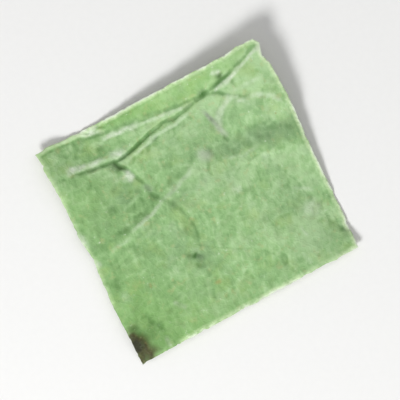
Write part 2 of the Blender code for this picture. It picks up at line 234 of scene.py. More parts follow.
# Fine creases, raised or sunk: half width, rise, then x and y of each point
CREASES = (
    (0.6, 0.03, -13.6, -0.7, -12.4, -0.5, -11.2, -0.3, -10.2, 0.05),
    (0.4, 0.045, -11.0, -0.05, -8.6, 0.85, -6.4, 1.4, -4.0, 2.3, -2.4, 2.9),
    (0.55, 0.045, -2.6, 2.9, -0.8, 3.4, 0.6, 3.9, 1.6, 4.3, 2.4, 4.7, 3.6, 5.4),
    (0.6, 0.03, 4.6, 3.9, 6.0, 3.4, 7.4, 2.9, 10.3, 3.0, 10.8, 1.8, 12.7, 1.2, 15.6, 0.7),
    (0.5, 0.03, 6.2, 10.0, 6.5, 8.7, 6.9, 7.0, 7.1, 6.2),
    (0.55, 0.04, 7.0, 7.6, 7.4, 8.5, 8.2, 9.3, 9.2, 9.9, 10.3, 10.1),
    (0.55, 0.04, 12.4, 9.1, 13.6, 8.8, 14.4, 8.2, 15.2, 7.5, 15.6, 6.9),
    (0.4, -0.05, 6.9, 6.2, 7.3, 5.2),
    (0.55, -0.035, -4.2, -5.6, -3.6, -6.0, -2.8, -6.5),
    (0.4, -0.035, -3.2, -6.5, -3.2, -7.4),
    (0.4, -0.035, 6.6, -10.8, 6.8, -11.6, 6.7, -12.7),
    (0.45, -0.045, -12.9, -10.2, -12.3, -11.4, -11.7, -12.4),
    (0.42, 0.035, -9.55, 3.6, -8.35, 3.9, -7.35, 4.15, -6.6, 4.4),
    (0.42, -0.024, 14.1, -9.6, 14.3, -10.5, 14.9, -11.4, 16.0, -12.3),
    (0.5, 0.02, -5.0, 4.5, -4.9, 3.7, -3.9, 2.6, -3.3, 1.7, -2.4, 0.2),
    (0.55, 0.012, -2.35, 0.2, -2.0, -1.8, -2.0, -3.4, -2.4, -5.0),
    (0.45, 0.05, -16.2, 15.25, -12.7, 15.25, -10.2, 15.0, -8.6, 14.6, -7.0, 14.15),
    (0.4, 0.045, -6.8, 13.25, -5.0, 13.0, -2.2, 12.65, 0.8, 12.25, 4.0, 12.0),
    (0.5, 0.06, -13.5, 11.15, -11.5, 10.95, -10.0, 10.95, -8.2, 10.7, -6.6, 10.3),
    (0.45, 0.045, -14.2, 10.8, -12.7, 10.75, -11.2, 10.65),
    (0.5, 0.05, -16.8, 14.65, -13.0, 14.7, -10.3, 14.5, -8.4, 14.15),
    (0.4, 0.06, -6.1, 9.0, -3.0, 9.8, -0.6, 10.5, 1.4, 10.5, 4.5, 11.05),
    (0.45, 0.06, 8.6, 11.75, 10.5, 12.05, 11.8, 12.75, 13.0, 13.1),
    (0.45, 0.035, 12.6, 13.0, 14.9, 13.8, 16.3, 14.3),
    (0.44, 0.065, -7.6, 14.0, -6.3, 13.8, -3.8, 13.4, 0.2, 12.85, 2.3, 12.5),
    (0.45, 0.05, -9.4, 15.2, -8.2, 14.9, -7.4, 15.1),
    (0.35, -0.05, -9.3, 15.3, -8.7, 14.8, -7.9, 14.5),
    (0.35, -0.05, -7.7, 15.2, -6.9, 14.7, -6.1, 14.4),
)

# Dark marks of the upper side, and painted shade beside the ridge, in the shallow fold at the right and at
# the bent lower left corner: half width, strength, then x and y of each point, as in the tables below
DARK_MARKS_AND_SHADE = (
    (0.95, 1.9, 6.95, 12.2, 6.75, 12.2),
    (0.72, 1.45, 9.9, 13.12, 9.88, 12.95),
    (0.6, 0.95, 8.5, 12.3, 10.0, 12.45, 11.2, 12.85),
    (0.5, 0.1, -15.8, 14.7, -12.5, 14.8, -10.6, 14.5),
    (1.05, 0.9, -8.0, 9.4, -7.5, 8.9, -6.8, 8.1),
    (0.85, 0.5, -5.7, 6.8, -5.0, 5.3),
    (1.05, 0.75, -5.35, 3.5, -5.15, 3.2),
    (0.7, 0.55, -3.6, 1.9, -2.9, 1.0, -2.3, 0.1),
    (0.55, 0.4, -6.1, 7.4, -5.1, 5.6, -4.9, 3.8, -3.6, 2.1, -2.4, 0.2, -2.0, -2.4, -2.1, -4.4),
    (0.8, 0.6, -2.7, -1.6, -2.5, -2.1),
    (0.85, 0.5, -2.2, -2.7, -2.1, -4.2),
    (0.6, 0.3, -2.3, -4.4, -2.5, -4.9),
    (1.1, 2.1, -4.15, -5.8, -3.85, -5.95),
    (1.0, 1.5, -3.25, -6.45, -2.95, -6.6),
    (1.0, 1.6, -3.6, -7.1, -3.4, -7.5),
    (0.95, 0.9, -14.4, -4.4, -14.4, -5.0),
    (0.95, 1.1, -10.5, 4.4, -10.3, 4.1),
    (0.8, 0.3, -8.3, -9.4, -8.1, -9.7),
    (0.8, 0.3, -9.3, -13.3, -9.1, -13.5),
    (0.8, 0.25, -5.1, -13.0, -4.9, -13.1),
    (1.6, 0.3, -8.5, 6.3, -6.8, 5.6),
    (0.95, 0.75, -10.9, 0.9, -9.9, 0.95),
    (0.6, 0.4, -9.2, 1.3, -7.6, 1.65, -6.2, 2.0),
    (0.8, 0.3, -8.1, 3.3, -6.9, 3.1),
    (0.6, 0.3, 1.7, -5.6, 1.9, -5.9),
    (0.75, 0.7, 4.2, 5.3, 4.4, 4.7),
    (1.0, 0.55, 6.6, 4.3, 7.0, 4.1),
    (1.0, 0.5, 8.3, 4.7, 8.8, 4.2),
    (0.9, 0.4, 9.2, 3.8, 9.5, 3.6),
    (1.2, 0.65, 11.3, 5.3, 11.3, 4.6),
    (1.1, 0.7, 11.3, 3.9, 11.2, 3.5),
    (0.65, 0.45, 12.2, 4.35, 13.4, 4.1, 15.2, 3.1),
    (0.8, 0.35, 10.0, -3.0, 10.4, -3.3),
    (0.8, 0.35, 6.8, -5.6, 6.9, -6.3),
    (0.75, 0.4, 3.6, -7.7, 3.7, -8.0),
    (2.2, 0.4, -14.4, -11.9, -13.4, -13.6),
    (0.75, 0.7, 6.2, -11.0, 6.4, -11.7, 6.5, -12.6),
    (1.0, 0.35, -12.8, -10.3, -12.3, -11.4, -11.8, -12.6),
    (0.6, 0.3, -3.8, 2.3, -2.9, 2.6, -2.0, 2.9),
    (0.9, 0.3, -10.6, -13.8, -10.3, -14.2),
    (0.65, 0.25, 13.9, -9.9, 14.3, -10.8, 14.9, -11.5, 15.9, -12.2),
    (0.6, 0.85, 14.7, -11.4, 15.4, -12.0, 16.1, -12.4),
    (1.0, 0.8, -9.9, -1.8, -9.8, -2.2),
    (0.85, 0.2, -7.9, -3.1, -7.8, -3.4),
    (0.75, 0.45, 10.9, -11.8, 11.1, -12.4),
    (0.7, 0.3, 8.0, -12.8, 8.5, -13.0),
    (0.55, 0.55, 8.3, 11.7, 8.9, 11.4, 9.5, 10.9),
    (0.75, 0.6, 10.8, 9.95, 11.4, 9.4, 12.0, 9.1),
    (0.8, 0.3, 7.5, 8.2, 8.3, 9.0),
    (0.7, 0.3, 14.6, 9.1, 15.8, 8.4),
    (0.5, 0.55, 6.9, 6.1, 7.1, 5.4),
    (0.6, 0.65, -12.8, 10.45, -11.0, 10.35, -9.6, 10.1, -8.3, 9.85),
    (0.62, 1.0, 6.1, 9.7, 6.3, 9.0, 6.6, 8.1),
    (1.45, 1.5, -15.1, -11.3, -14.7, -12.2),
    (0.85, 1.5, -8.25, 12.35, -8.15, 12.0),
    (0.35, 0.6, -9.3, 15.3, -8.7, 14.8, -7.9, 14.5),
    (0.35, 0.6, -7.7, 15.2, -6.9, 14.7, -6.1, 14.4),
)
# Pale veins, scuffs and spots, and painted highlights on the lit flanks of furrows and ridges
PALE_MARKS_AND_HIGHLIGHTS = (
    (0.7, 1.3, -13.3, 11.25, -11.6, 11.1, -10.8, 11.0),
    (0.65, 0.8, -10.8, 11.05, -9.6, 10.95, -8.4, 10.75),
    (1.0, 0.85, -7.5, 10.65, -6.8, 10.5, -5.9, 10.3),
    (1.0, 1.9, -6.75, 7.3, -6.5, 6.9),
    (0.45, 0.4, -8.2, 7.5, -7.2, 7.4),
    (0.45, 0.45, 4.5, 11.0, 1.4, 10.45, -0.6, 10.4, -3.0, 9.7, -6.1, 9.0),
    (0.5, 0.2, -13.0, -0.6, -11.4, -0.35, -10.2, 0.05),
    (0.45, 0.1, -3.8, 2.4, -2.4, 2.85, -0.8, 3.3, 1.6, 4.2),
    (0.5, 0.45, 0.2, 3.7, 1.1, 4.1),
    (1.0, 0.25, 3.1, 4.9, 3.7, 5.2),
    (0.95, 0.65, 5.0, -0.8, 5.3, -0.9),
    (0.7, 0.75, -15.7, -0.9, -15.4, -1.2),
    (0.45, 0.7, -16.1, -3.7, -16.0, -4.1),
    (1.8, 0.6, 12.6, -7.6, 13.1, -7.4),
    (0.9, 1.2, -15.9, 3.0, -15.8, 1.8),
    (0.5, 0.25, 5.6, 3.5, 7.4, 2.9, 8.8, 2.7, 10.2, 3.0),
    (0.7, 0.45, 10.4, 1.3, 10.8, 1.1),
    (0.75, 0.55, 6.6, 6.9, 6.9, 7.8, 7.4, 8.6, 8.2, 9.4, 9.2, 9.95, 10.3, 10.0),
    (0.65, 0.55, 12.5, 9.0, 13.2, 8.9, 13.9, 8.6),
    (0.6, 0.5, 14.1, 8.3, 14.9, 7.8, 15.6, 6.9),
    (0.8, 0.65, 9.6, 10.4, 10.4, 9.9),
    (0.6, 0.5, 10.4, 9.3, 11.6, 8.7),
    (0.5, 0.3, 10.6, 10.8, 12.6, 10.6, 15.0, 10.5),
    (0.9, 0.28, -14.15, -6.3, -14.05, -7.0),
    (0.42, 0.12, -9.55, 3.6, -8.35, 3.9, -7.35, 4.15, -6.6, 4.4),
    (0.4, 0.9, 8.6, 11.8, 10.5, 12.1, 11.8, 12.7, 13.0, 13.05, 14.9, 13.8, 16.3, 14.35),
    (0.5, 0.3, -16.0, 15.3, -12.7, 15.3, -10.0, 15.15),
    (0.6, 1.0, 15.8, 14.1, 16.3, 14.3, 16.1, 13.4),
    (0.6, 1.0, 9.4, 13.9, 9.8, 13.6),
    (0.5, 0.7, -10.2, 15.0, -8.6, 14.6, -7.0, 14.15),
    (0.6, 0.85, -7.4, 13.3, -5.0, 13.1, -2.2, 12.7),
    (0.6, 1.1, -10.4, 15.2, -8.9, 15.2, -8.3, 14.8, -7.6, 15.1),
    (0.45, 0.5, -2.2, 12.65, 0.8, 12.25, 3.2, 12.0, 5.0, 11.9),
    (0.45, 0.35, 12.0, -4.2, 14.0, -5.4),
    (0.4, 0.35, 10.2, -8.9, 10.6, -10.2),
    (0.5, 0.35, 9.0, -12.6, 9.4, -13.6),
    (0.4, 0.3, -12.0, -13.7, -11.8, -15.0),
    (0.6, 0.5, -8.8, -10.4, -8.1, -11.2),
    (0.4, 0.25, -8.7, 0.85, -8.0, 1.05, -6.4, 1.4, -4.8, 1.95),
)
# Grey scrapes and spots
GREY_MARKS = (
    (0.6, 1.25, 6.0, 10.1, 6.3, 9.1, 6.65, 8.1, 6.8, 7.2, 7.25, 6.2),
    (0.75, 0.6, -3.35, -6.3, -3.05, -6.5),
    (1.3, 1.6, 3.3, 5.3, 3.7, 4.9),
    (0.44, 0.55, -9.4, 0.5, -8.0, 1.0, -6.4, 1.4, -4.8, 1.95, -4.0, 2.3),
    (0.5, 0.45, -3.8, 2.4, -2.6, 2.8, -0.8, 3.3, 0.6, 3.8),
    (0.65, 0.75, -5.1, 4.9, -4.8, 4.4),
    (0.6, 0.5, 15.3, -11.8, 16.0, -12.2),
    (0.6, 0.3, -10.4, 10.3, -9.6, 10.2),
)
# Where the rim isn't pale
DULL_RIMS = (
    (1.5, 0.8, -15.0, -15.3, -10.6, -15.2),
    (1.3, 0.85, -16.3, -7.6, -16.3, -11.2),
    (1.3, 0.55, 7.0, -15.0, 13.0, -14.9),
    (1.4, 0.5, -14.4, 15.5, -10.4, 15.4),
)
# Rusty specks
SPECKS = (
    (0.55, 1.0, -2.7, -10.35, -2.5, -10.45),
    (0.32, 0.7, -10.7, -6.5, -10.6, -6.9),
    (0.3, 0.5, -1.9, -1.3, -1.8, -1.6),
)
# The brown of the lower left corner, a real stain whose colours are darkened to paint the shade that the
# bent corner lies in
BROWNED = (
    (2.1, 1.2, -16.2, -11.3, -15.8, -12.8),
    (2.6, 1.5, -16.0, -12.0, -15.2, -15.6),
)
# The darkest places in it, stain darkened further as painted shade, and two of the dark spots of the veins
BURNS_AND_SHADE = (
    (1.25, 1.2, -15.95, -12.0, -15.7, -12.9, -15.5, -13.8),
    (1.1, 0.8, -15.4, -14.4, -15.0, -14.9),
    (0.8, 0.3, -8.0, 9.3, -7.5, 8.9, -6.9, 8.2),
    (0.5, 0.5, 9.92, 13.0, 9.9, 12.85),
)
# Lighter stretches and patches, and darker ones: partly the leaf's own tone, partly painted light and shade,
# such as painted light on the upper right and below the shallow fold at the right, painted shade along that
# fold and painted shade beside the bent lower left corner
PALE_AND_LIT_STRETCHES = (
    (8.5, 0.9, 12.0, 11.0, 14.0, 9.0),
    (2.6, 0.7, 5.6, 10.5, 8.6, 10.2),
    (2.2, 0.6, -1.6, 9.0, 1.4, 8.8),
    (6.0, 0.35, 13.5, -1.0, 13.0, -5.0),
    (1.7, 0.8, 10.6, 0.2, 13.6, 0.2, 16.2, -0.3),
    (1.5, 0.45, 4.6, 4.6, 7.0, 4.2, 9.8, 4.0),
    (1.4, 0.75, -4.2, 12.0, -1.5, 11.95, 2.2, 11.8),
    (1.4, 0.4, 0.4, 14.1, 3.6, 14.1),
    (5.0, 0.15, -1.0, -1.0, 3.0, 1.0),
    (3.5, 0.75, 1.0, 3.2, 4.0, 1.5, 9.0, 1.0),
    (3.0, 0.45, -2.5, 8.6, 0.5, 8.8, 5.0, 10.4),
    (2.8, 0.6, 6.3, -2.6, 6.5, -8.4),
    (3.0, 0.9, 9.5, -8.4, 13.6, -8.0),
    (3.0, 0.55, -8.6, -12.6, -7.8, -9.6, -3.8, -5.0),
    (2.6, 0.4, -7.0, -12.8, -1.0, -13.0),
    (2.8, 0.6, -12.4, 12.0, -9.6, 10.8),
    (4.0, 0.45, -13.0, 13.6, -9.0, 13.0),
    (5.0, 0.8, 9.0, -11.0, 13.0, -10.0),
    (1.5, 0.95, 15.0, -8.7, 15.0, -10.5),
    (0.8, 1.2, -9.2, 12.2, -9.0, 12.8, -8.0, 13.05),
    (0.9, 1.4, -14.6, 13.65, -14.1, 13.65),
    (1.1, 1.2, -10.0, 11.5, -9.6, 11.3),
    (1.1, 1.1, -10.0, 13.8, -9.6, 13.6),
    (2.0, 0.9, -5.2, -8.2, -4.8, -8.3),
    (0.9, 0.6, 12.7, 2.1, 14.3, 1.7),
    (3.0, 0.2, -13.5, 8.0, -11.5, 8.0),
    (2.2, 1.6, 6.7, -9.2, 7.1, -9.0),
    (1.5, 2.3, 12.5, -7.4, 12.8, -7.5),
    (2.4, 1.1, 1.7, -7.4, 2.1, -7.4),
    (2.2, 1.45, -8.6, -12.7, -8.2, -12.8),
    (1.8, 1.3, -1.6, 8.5, -1.2, 8.4),
    (1.6, 0.8, -9.2, 8.6, -8.8, 8.5),
    (1.8, 1.8, 2.0, 3.4, 2.4, 3.5),
    (2.0, 1.4, 9.0, 1.2, 9.4, 1.2),
    (2.2, 0.6, -10.6, -3.8, -10.2, -3.8),
    (1.6, 1.2, 8.8, 9.4, 9.2, 9.3),
    (1.6, 0.8, 4.3, 9.5, 4.7, 9.5),
)
DARK_AND_SHADED_STRETCHES = (
    (2.4, 1.0, 11.8, 3.4, 13.6, 3.0, 16.6, 2.3),
    (1.5, 1.25, -6.2, 15.1, -3.6, 14.8, -2.0, 14.8),
    (1.2, 0.5, -14.8, -0.9, -13.6, -0.8),
    (1.3, 0.9, -0.4, 14.1, 0.2, 14.1),
    (1.0, 0.8, -12.1, 13.1, -11.5, 12.9),
    (0.8, 1.3, -10.0, 13.0, -9.7, 12.6),
    (1.8, 0.6, 11.8, 7.8, 12.4, 7.6),
    (1.5, 0.5, 6.6, 14.0, 9.2, 14.3),
    (2.8, 0.3, -7.0, 3.5, -3.8, 3.6),
    (1.3, 0.35, -6.3, 11.0, -5.3, 10.8),
    (1.9, 0.45, -2.4, -1.4, -0.2, -3.4),
    (1.7, 0.45, 5.2, 6.9, 8.5, 7.2, 11.8, 8.6),
    (1.3, 0.3, 9.5, -3.6, 10.0, -3.8),
    (4.0, 0.55, -13.6, 2.6, -13.0, 0.0),
    (3.0, 0.3, -3.0, 5.6, 3.0, 7.2),
    (2.6, 0.3, -14.6, 0.0, -14.4, -6.6),
    (1.4, 0.75, 13.2, 11.3, 15.4, 11.2),
    (7.5, 0.7, -14.5, -8.0, -11.0, -9.0, -9.0, -12.0),
    (3.5, 1.0, -14.6, -11.5, -12.6, -14.8),
)
# Greyer stretches, and greener ones; the first greys the painted shade along the shallow fold at the right
DULL_STRETCHES = (
    (2.6, 1.0, 4.2, 5.0, 10.0, 4.2, 16.6, 2.6),
    (7.5, 0.7, 12.0, -2.0, 12.0, -14.0),
    (9.0, 0.5, 12.0, 12.0, 0.0, 2.0),
)
FRESH_STRETCHES = (
    (9.0, 0.9, -15.0, -5.0, -12.0, -13.0, -4.0, -14.0),
    (6.0, 0.6, -14.0, 4.0, -12.0, 8.0),
    (3.0, 0.6, 7.0, -8.8, 10.0, -8.4, 14.0, -7.8),
)


def smooth_path(points, step):
    """Points about a step apart on a curve that runs through the given ones."""
    marks = np.array(points) * MM
    ends = [2 * marks[0] - marks[1], *marks, 2 * marks[-1] - marks[-2]]
    path = []
    for before, start, end, after in zip(ends, ends[1:], ends[2:], ends[3:]):
        count = max(1, round(float(np.linalg.norm(end - start)) / step))
        for t in np.arange(count) / count:
            path.append(
                start
                + 0.5 * t * (end - before)
                + t**2 * (before - 2.5 * start + 2 * end - 0.5 * after)
                + t**3 * (1.5 * (start - end) + 0.5 * (after - before))
            )
    return np.array([*path, marks[-1]])


def nearest(path, x, y):
    """How far each place is from the path, and the share of the path's length to its nearest point."""
    start, run = path[:-1], np.diff(path, axis=0)
    length = np.linalg.norm(run, axis=1)
    east = x[:, None] - start[:, 0]
    north = y[:, None] - start[:, 1]
    t = np.clip((east * run[:, 0] + north * run[:, 1]) / length**2, 0, 1)
    away = np.hypot(east - t * run[:, 0], north - t * run[:, 1])
    best = away.argmin(axis=1)
    rows = np.arange(len(x))
    covered = np.concatenate([[0], np.cumsum(length)])
    share = (covered[best] + t[rows, best] * length[best]) / covered[-1]
    return away[rows, best], share


def hump(distance, half):
    """1 on the line and 0 from the half width outwards, round on top."""
    return 0.5 + 0.5 * np.cos(math.pi * np.clip(distance / half, 0, 1))


def bend(distance):
    """0 before the line and the distance itself beyond it, with a soft turn."""
    near = np.clip(distance + BEND, 0, 2 * BEND)
    return np.where(distance > BEND, distance, near**2 / (4 * BEND))


def crest_of(x):
    """The line of the upper veins, as a height in plan over x."""
    crest = np.concatenate([smooth_path(points, VEIN_STEP) for _, _, _, points in VEINS[:2]])
    order = crest[:, 0].argsort()
    return np.interp(x, crest[order, 0], crest[order, 1])


def beyond_corner_fold(x, y):
    """How far each place lies beyond the fold of the lower left corner."""
    start, end = np.array(CORNER_FOLD) * MM
    across = np.array([end[1] - start[1], start[0] - end[0]])
    across /= np.linalg.norm(across)
    return (x - start[0]) * across[0] + (y - start[1]) * across[1]


def blade_form(x, y):
    """Height of the blade without its veins: swells, waves, folds and the two bends."""
    z = np.zeros_like(x)
    for east, north, rise, spread in SWELLS:
        z += rise * MM * np.exp(-((x - east * MM) ** 2 + (y - north * MM) ** 2) / (spread * MM) ** 2)
    for turn, length, height, phase in WAVES:
        way = math.radians(turn)
        run = (x * math.cos(way) + y * math.sin(way)) / (length * MM)
        z += height * MM * np.sin(2 * math.pi * run + math.radians(phase))
    for half, rise, points in FOLDS:
        distance, share = nearest(smooth_path(points, VEIN_STEP), x, y)
        fade = np.interp(share, FOLD_SHARES, FOLD_STRENGTHS)
        z += rise * MM * fade * hump(distance, half * MM)
    z += STRIP_SLOPE * bend(y - crest_of(x))
    z -= CORNER_SLOPE * bend(beyond_corner_fold(x, y))
    return z


def vein_relief(x, y):
    """The furrows of the upper side, counted upwards, the ribs of the underside, counted downwards, and
    how dark a furrow is, partly its own darker tissue and partly painted shade, and how clear a vein is at
    each place, from 0 to 1."""
    furrow, shoulder, rib = np.zeros_like(x), np.zeros_like(x), np.zeros_like(x)
    dark, clear = np.zeros_like(x), np.zeros_like(x)
    for name, sizes, depths, points in VEINS:
        distance, share = nearest(smooth_path(points, VEIN_STEP), x, y)
        size = np.interp(share, (0, 1), sizes)
        depth = np.interp(share, *depths)
        half = RIB_HALF * (0.5 + size)
        furrow = np.maximum(furrow, depth * MM * hump(distance, FURROW * half))
        shoulder = np.maximum(shoulder, SHOULDER * depth * MM * hump(distance, FLANK * half))
        rib = np.maximum(rib, RIB_RISE * size * hump(distance, half))
        line = DARK_LINES.get(name, OTHER_DARK_LINES) * half
        dark = np.maximum(dark, depth / DARKEST * hump(distance, line))
        clear = np.maximum(clear, size * hump(distance, half))
    return shoulder - (1 + SHOULDER) * furrow, rib, dark, clear


def net_of(outline):
    """The knots of the net of small veins, and the pairs of knots it joins."""
    draw = random.Random(SEED)
    reach = np.abs(outline).max() + NET_CELL
    row_step = math.sqrt(0.75)
    rows = math.ceil(reach / (NET_CELL * row_step))
    seeds = []
    for row in range(-rows, rows + 1):
        for column in range(-rows, rows + 1):
            slip = 0.5 * (row % 2)
            east = (column + slip + draw.uniform(-NET_JITTER, NET_JITTER)) * NET_CELL
            north = (row * row_step + draw.uniform(-NET_JITTER, NET_JITTER)) * NET_CELL
            seeds.append((east, north))
    places, _, faces, _, _, _ = delaunay_2d_cdt(seeds, [], [], 0, SAME)
    places = np.array(places)
    knots = np.array([places[list(face)].mean(axis=0) for face in faces])
    sides = {}
    for index, face in enumerate(faces):
        for corner, following in zip(face, face[1:] + face[:1]):
            sides.setdefault(frozenset((corner, following)), []).append(index)
    return knots, [pair for pair in sides.values() if len(pair) == 2]


def net_distance(knots, pairs, x, y):
    """How far each place is from the net."""
    best = np.full(len(x), np.inf)
    for first, second in pairs:
        start, run = knots[first], knots[second] - knots[first]
        t = np.clip(((x - start[0]) * run[0] + (y - start[1]) * run[1]) / (run @ run), 0, 1)
        best = np.minimum(best, np.hypot(x - start[0] - t * run[0], y - start[1] - t * run[1]))
    return best


def torn_outline():
    """The outline with the small steps and nicks of its torn edge, and where its corners are in it."""
    draw = random.Random(SEED)
    corners = np.array(OUTLINE) * MM
    loop, places = [], []
    for start, end in zip(corners, np.roll(corners, -1, axis=0)):
        run = end - start
        length = float(np.linalg.norm(run))
        side = np.array([run[1], -run[0]]) / length
        count = max(1, round(length / EDGE_STEP))
        places.append(len(loop))
        loop.append(start)
        for index in range(1, count):
            along = (index + draw.uniform(-EDGE_UNEVEN, EDGE_UNEVEN)) / count
            loop.append(start + along * run + side * draw.gauss(0, 1) * EDGE_TEAR)
    return np.array(loop), places


def ground_under(knots, pairs):
    """The plane through the three feet, as height and slopes."""
    feet = np.array(FEET) * MM
    x, y = feet.T
    _, rib, _, _ = vein_relief(x, y)
    net = NET_UNDER * hump(net_distance(knots, pairs, x, y), NET_HALF)
    under = blade_form(x, y) - SOLID_BLADE - np.maximum(rib, net)
    return np.linalg.solve(np.hstack([np.ones((3, 1)), feet]), under + PRESSED)


def field(x, y, along, across, depth):
    """Smooth noise from about -1 to 1, in patches of those sizes along and across the grain. Each depth
    gives another noise."""
    turn = math.radians(GRAIN_TURN)
    run = (x * math.cos(turn) + y * math.sin(turn)) / (along * MM)
    side = (y * math.cos(turn) - x * math.sin(turn)) / (across * MM)
    return NOISE_SWING * np.array([noise.noise((a, b, depth)) for a, b in zip(run, side)])


def uneven(x, y, sizes, depth, middle, swing, least, most):
    """A share that differs from patch to patch."""
    return np.clip(middle + swing * field(x, y, *sizes, depth), least, most)


def wrinkles(x, y):
    """Height of the fine wrinkles that the blade got in drying."""
    strength = uneven(x, y, (7.0, 5.0), 40.5, middle=0.75, swing=0.6, least=0.3, most=1.4)
    z = np.zeros_like(x)
    for index, (along, across, height, sharp) in enumerate(WRINKLES):
        wave = field(x, y, along, across, WRINKLE_NOISE * (index + 1))
        furrowed = 1.8 * np.abs(wave) - 0.6
        z += height * MM * strength * ((1 - sharp) * wave + sharp * furrowed)
    return z


def small_creases():
    """Rows like those of the table of creases, for many small ones along and across the grain."""
    draw = random.Random(SEED + 2)
    rows = []
    for _ in range(SMALL_CREASES):
        place = np.array([draw.uniform(-side, side) for side in CREASE_AREA])
        middle = GRAIN_TURN if draw.random() < ALONG_GRAIN else CROSS_TURN
        turn = math.radians(draw.gauss(middle, TURN_SPREAD))
        reach = draw.uniform(*CREASE_REACH) * np.array([math.cos(turn), math.sin(turn)])
        sag = draw.uniform(-CREASE_SAG, CREASE_SAG) * np.array([-reach[1], reach[0]])
        rise = draw.choice(CREASE_SIGNS) * draw.uniform(*CREASE_RISE)
        half = draw.uniform(*CREASE_HALF)
        rows.append((half, rise, *(place - reach), *(place + sag), *(place + reach)))
    return rows


def parts_of(row):
    """Half width, strength or rise, and points."""
    half, strength, *places = row
    return half, strength, np.reshape(places, (-1, 2))


def creases(x, y):
    """Height of all fine creases."""
    z = np.zeros_like(x)
    for half, rise, points in map(parts_of, (*CREASES, *small_creases())):
        distance, share = nearest(smooth_path(points, MARK_STEP), x, y)
        fade = np.clip(CREASE_FADE * np.minimum(share, 1 - share), 0, 1)
        z += rise * MM * fade * hump(distance, half * MM)
    return z


def strokes(x, y, table):
    """How strong the marks of a table are at each place. A mark is weaker towards its ends, and a spot,
    which is a very short mark, is weaker all over."""
    best = np.zeros_like(x)
    for half, strength, points in map(parts_of, table):
        distance, share = nearest(smooth_path(points, MARK_STEP), x, y)
        ends = np.clip(MARK_END + MARK_FADE * np.minimum(share, 1 - share), 0, 1)
        if math.dist(points[0], points[-1]) < LONGEST_SPOT:
            ends = SPOT_SHARE
        best = np.maximum(best, strength * ends * hump(distance, half * MM))
    return best


def blurred(values, rounds):
    """The grid's values after that many rounds of averaging with their neighbours."""
    for _ in range(rounds):
        wide = np.pad(values, 1, mode="edge")
        values = (wide[:-2, 1:-1] + wide[2:, 1:-1] + wide[1:-1, :-2] + wide[1:-1, 2:] + values) / 5
    return values


def lengths_along(path):
    """The path's length up to each of its points."""
    return np.concatenate([[0], np.cumsum(np.hypot(*np.diff(path, axis=0).T))])


def side_points(loop, start, end, count):
    """Places at even steps along the closed loop, from one of its points to another."""
    last = end if end > start else end + len(loop)
    part = loop[np.arange(start, last + 1) % len(loop)]
    covered = lengths_along(part)
    marks = np.linspace(0, covered[-1], count + 1)
    return np.stack([np.interp(marks, covered, part[:, axis]) for axis in (0, 1)], axis=1)


def frayed(side, draw, depth):
    """The side with fine tearing and small nicks, all inwards. Each depth gives other tearing."""
    run = np.gradient(side, axis=0)
    run /= np.linalg.norm(run, axis=1)[:, None]
    inward = np.stack([-run[:, 1], run[:, 0]], axis=1)
    covered = lengths_along(side)
    tear = np.zeros(len(covered))
    for size, reach, number in FINE_TEARS:
        tear += [abs(noise.noise((s / (size * MM), depth, number))) * reach for s in covered]
    for _ in range(NICKS_A_SIDE):
        middle = draw.uniform(*NICK_PLACES) * covered[-1]
        half = draw.uniform(*NICK_HALVES) * MM
        tear += draw.uniform(*NICK_DEPTHS) * np.clip(1 - np.abs(covered - middle) / half, 0, 1)
    ends = np.clip(np.minimum(covered, covered[-1] - covered) / CALM_CORNER, 0, 1)
    return side + inward * (tear * ends * MM)[:, None]


def patch(lower, right, upper, left):
    """A grid of places that fills the space between four sides."""
    u = np.linspace(0, 1, len(lower))[None, :, None]
    v = np.linspace(0, 1, len(left))[:, None, None]
    across = (1 - v) * lower[None] + v * upper[None]
    along = (1 - u) * left[:, None] + u * right[:, None]
    corners = (1 - u) * (1 - v) * lower[0] + u * (1 - v) * lower[-1]
    corners = corners + (1 - u) * v * upper[0] + u * v * upper[-1]
    return across + along - corners


def grid_in_plan():
    """The blade's grid of places in plan, whose outer rows follow the torn edge, and the grid's middle."""
    torn, places = torn_outline()
    plain = np.array(OUTLINE) * MM
    counts = (ACROSS, ALONG, ACROSS, ALONG)
    ends = zip(SIDE_CORNERS, SIDE_CORNERS[1:] + SIDE_CORNERS[:1], counts)
    draw = random.Random(SEED + 1)
    straight, strayed = [], []
    for index, (start, end, count) in enumerate(ends):
        even = side_points(plain, start, end, count)
        edge = frayed(side_points(torn, places[start], places[end], count), draw, TEAR_NOISE * index)
        if index > 1:
            even, edge = even[::-1], edge[::-1]
        straight.append(even)
        strayed.append(edge - even)
    grid = patch(*straight)
    fade = np.clip(1 - np.arange(max(counts) + 1) / TEAR_ROWS, 0, 1) ** 2
    rows, columns = fade[: ALONG + 1, None, None], fade[None, : ACROSS + 1, None]
    grid = grid + rows * strayed[0][None] + rows[::-1] * strayed[2][None]
    grid = grid + columns[:, ::-1] * strayed[1][:, None] + columns * strayed[3][:, None]
    middle = 0.5 * (torn.min(axis=0) + torn.max(axis=0))
    return grid, middle


